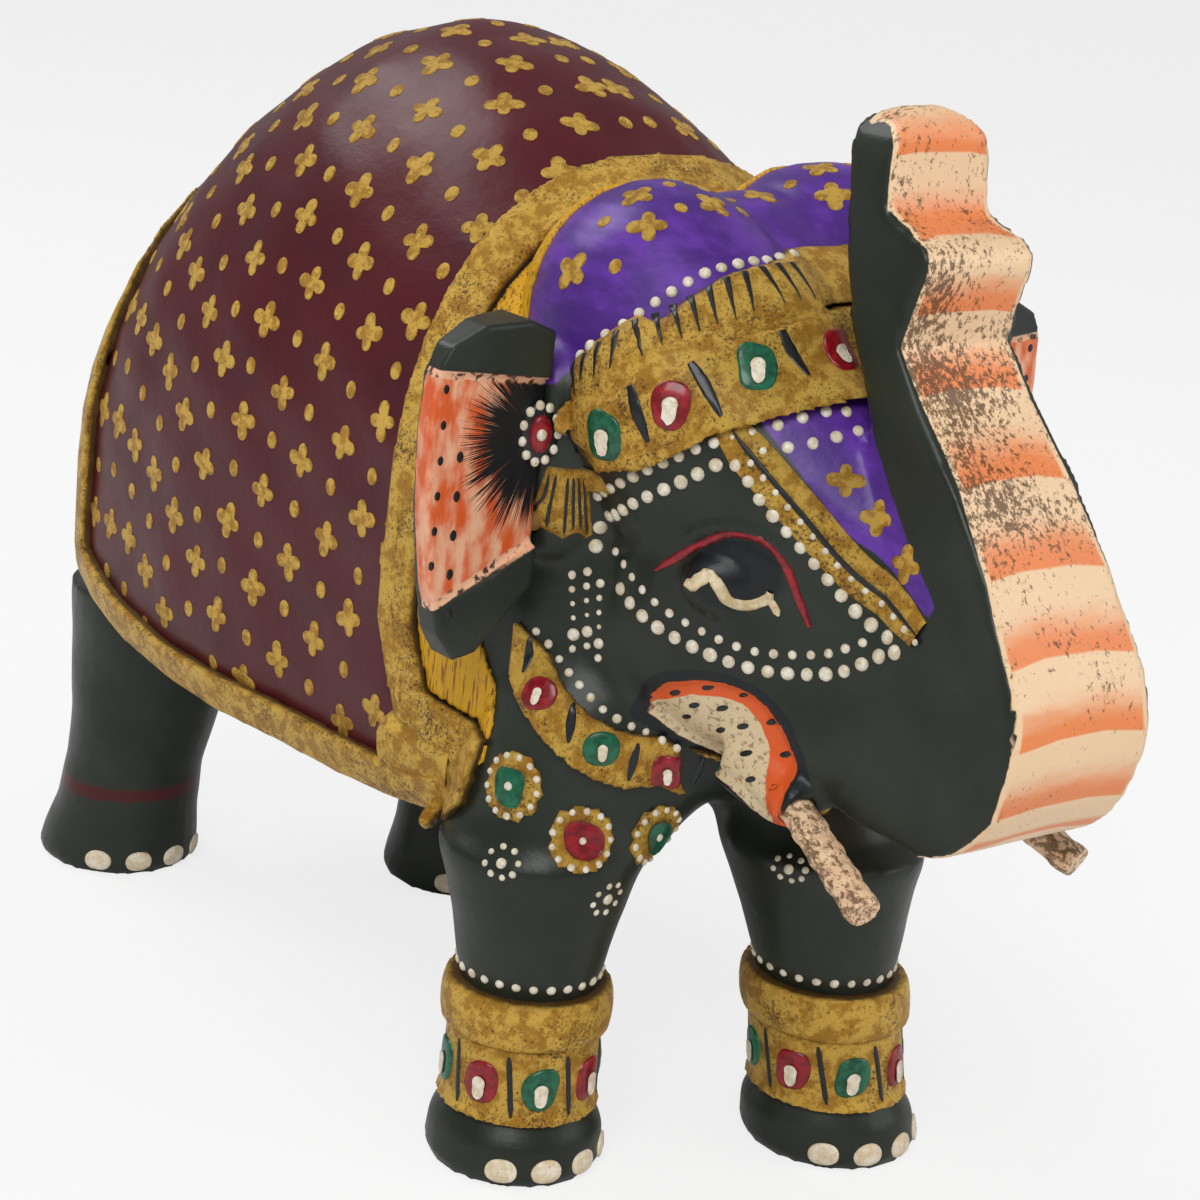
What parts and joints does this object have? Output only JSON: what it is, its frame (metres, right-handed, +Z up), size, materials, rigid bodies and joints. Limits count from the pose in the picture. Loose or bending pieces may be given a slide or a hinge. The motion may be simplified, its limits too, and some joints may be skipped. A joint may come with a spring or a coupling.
{
  "type": "carved wooden elephant",
  "caption": "Painted carved wooden elephant figurine with raised trunk, dowelled ears, pegged tusks and gilded relief trim.",
  "frame": {"origin": "centre of the figure's outline on the ground plane that the four feet stand on", "axes": "+Z up, -Y the way the elephant faces, +X the elephant's left"},
  "size_m": [0.0978, 0.1791, 0.135],
  "materials": {
    "painted_wood_green": "satin paint",
    "painted_ear_green": "satin paint",
    "tusk_cream": "worn satin paint",
    "bare_wood": "bare",
    "gilded_paste": "aged gilding",
    "ochre_gilding": "brushed gilding",
    "red_enamel": "gloss",
    "green_enamel": "gloss",
    "cream_beads": "satin"
  },
  "bodies": {
    "root": {"carved_block": "painted_wood_green", "right_ear": "painted_ear_green", "left_ear": "painted_ear_green", "tusks": "tusk_cream", "ear_dowels": "bare_wood", "blanket_border": "gilded_paste", "fringe_panels": "ochre_gilding", "jewel_band": "gilded_paste", "fringe_band": "gilded_paste", "forehead_strips": "gilded_paste", "collar_band": "gilded_paste", "leg_rings": "gilded_paste", "leg_cuffs": "gilded_paste", "ear_rosettes": "red_enamel", "shoulder_rosettes": "gilded_paste", "red_gems": "red_enamel", "green_gems": "green_enamel", "face_beads": "cream_beads", "leg_beads": "cream_beads"}
  },
  "joints": []
}
